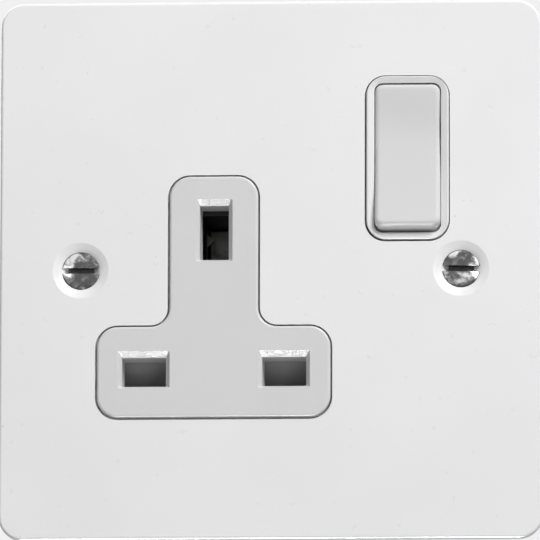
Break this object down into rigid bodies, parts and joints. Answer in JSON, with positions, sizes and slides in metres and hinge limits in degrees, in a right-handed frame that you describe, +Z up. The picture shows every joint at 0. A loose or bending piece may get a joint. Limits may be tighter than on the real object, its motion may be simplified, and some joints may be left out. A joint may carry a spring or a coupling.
{
  "type": "switched socket outlet",
  "caption": "Flush wall outlet on a square painted metal plate, with a T-shaped insert of shuttered rectangular pin slots and a rocker switch.",
  "frame": {"origin": "on the wall plane, midway between the two fixing screws, which is the middle of the plate's back", "axes": "+Z up the wall, -Y out of the wall towards the user, +Y into the wall, +X to the user's right"},
  "size_m": [0.086, 0.027, 0.086],
  "materials": {
    "painted_plate": "satin powder coat",
    "gasket_plastic": "matt",
    "white_moulding": "satin moulded",
    "rocker_white": "gloss",
    "housing_plastic": "matt moulded",
    "shutter_plastic": "matt",
    "plunger_plastic": "matt",
    "brass_sheet": "rolled",
    "tinned_sheet": "tin plated",
    "brass_block": "machined",
    "silver_tip": "bright",
    "spring_steel": "drawn wire",
    "nickel_screw": "nickel plated",
    "zinc_screw": "zinc plated"
  },
  "bodies": {
    "socket": {"face_plate": "painted_plate", "plate_gasket": "gasket_plastic", "front_moulding": "white_moulding", "switch_surround": "white_moulding", "fixed_contact_tips": "silver_tip", "feed_strip_line": "brass_sheet", "feed_strip_neutral": "brass_sheet", "line_contact": "brass_sheet", "neutral_contact": "brass_sheet", "earth_contact": "tinned_sheet", "terminal_line": "brass_block", "terminal_neutral": "brass_block", "terminal_earth_inner": "brass_block", "terminal_earth_outer": "brass_block", "terminal_screws": "zinc_screw", "shutter_spring": "spring_steel", "rear_housing": "housing_plastic", "housing_screws": "zinc_screw", "fixing_screw_left": "nickel_screw", "fixing_screw_right": "nickel_screw", "earth_strap": "brass_sheet", "earth_rivet": "brass_block"},
    "rocker": {"rocker": "rocker_white", "plunger_spring_line": "spring_steel", "plunger_spring_neutral": "spring_steel"},
    "plunger_line": {"plunger_line": "plunger_plastic"},
    "plunger_neutral": {"plunger_neutral": "plunger_plastic"},
    "contact_line": {"moving_contact_line": "brass_sheet", "contact_tip_line": "silver_tip"},
    "contact_neutral": {"moving_contact_neutral": "brass_sheet", "contact_tip_neutral": "silver_tip"},
    "shutter": {"shutter": "shutter_plastic"}
  },
  "joints": [
    {"name": "rocker_tilt", "type": "hinge", "parent": "socket", "child": "rocker", "pos_m": [0.0217, 0, 0.0178], "axis": [1, 0, 0], "range_deg": [0, 14]},
    {"name": "contact_line_tilt", "type": "hinge", "parent": "socket", "child": "contact_line", "pos_m": [0.02435, 0.0113, 0.0178], "axis": [1, 0, 0], "range_deg": [-20, 0]},
    {"name": "contact_neutral_tilt", "type": "hinge", "parent": "socket", "child": "contact_neutral", "pos_m": [0.01905, 0.0113, 0.0178], "axis": [1, 0, 0], "range_deg": [-20, 0]},
    {"name": "plunger_line_slide", "type": "slide", "parent": "rocker", "child": "plunger_line", "axis": [0, -0.9925, 0.1219], "range_m": [0, 0.0006], "stiffness_N_per_m": 400, "springref_m": -0.0015, "deforming": ["plunger_spring_line"]},
    {"name": "plunger_neutral_slide", "type": "slide", "parent": "rocker", "child": "plunger_neutral", "axis": [0, -0.9925, 0.1219], "range_m": [0, 0.0006], "stiffness_N_per_m": 400, "springref_m": -0.0015, "deforming": ["plunger_spring_neutral"]},
    {"name": "shutter_slide", "type": "slide", "parent": "socket", "child": "shutter", "axis": [0, 0, 1], "range_m": [0, 0.0056], "stiffness_N_per_m": 80, "springref_m": -0.004, "deforming": ["shutter_spring"]}
  ],
  "couplings": [
    {"joint": "contact_line_tilt", "follows": "rocker_tilt", "ratio": -1.4286},
    {"joint": "contact_neutral_tilt", "follows": "rocker_tilt", "ratio": -1.4286}
  ]
}
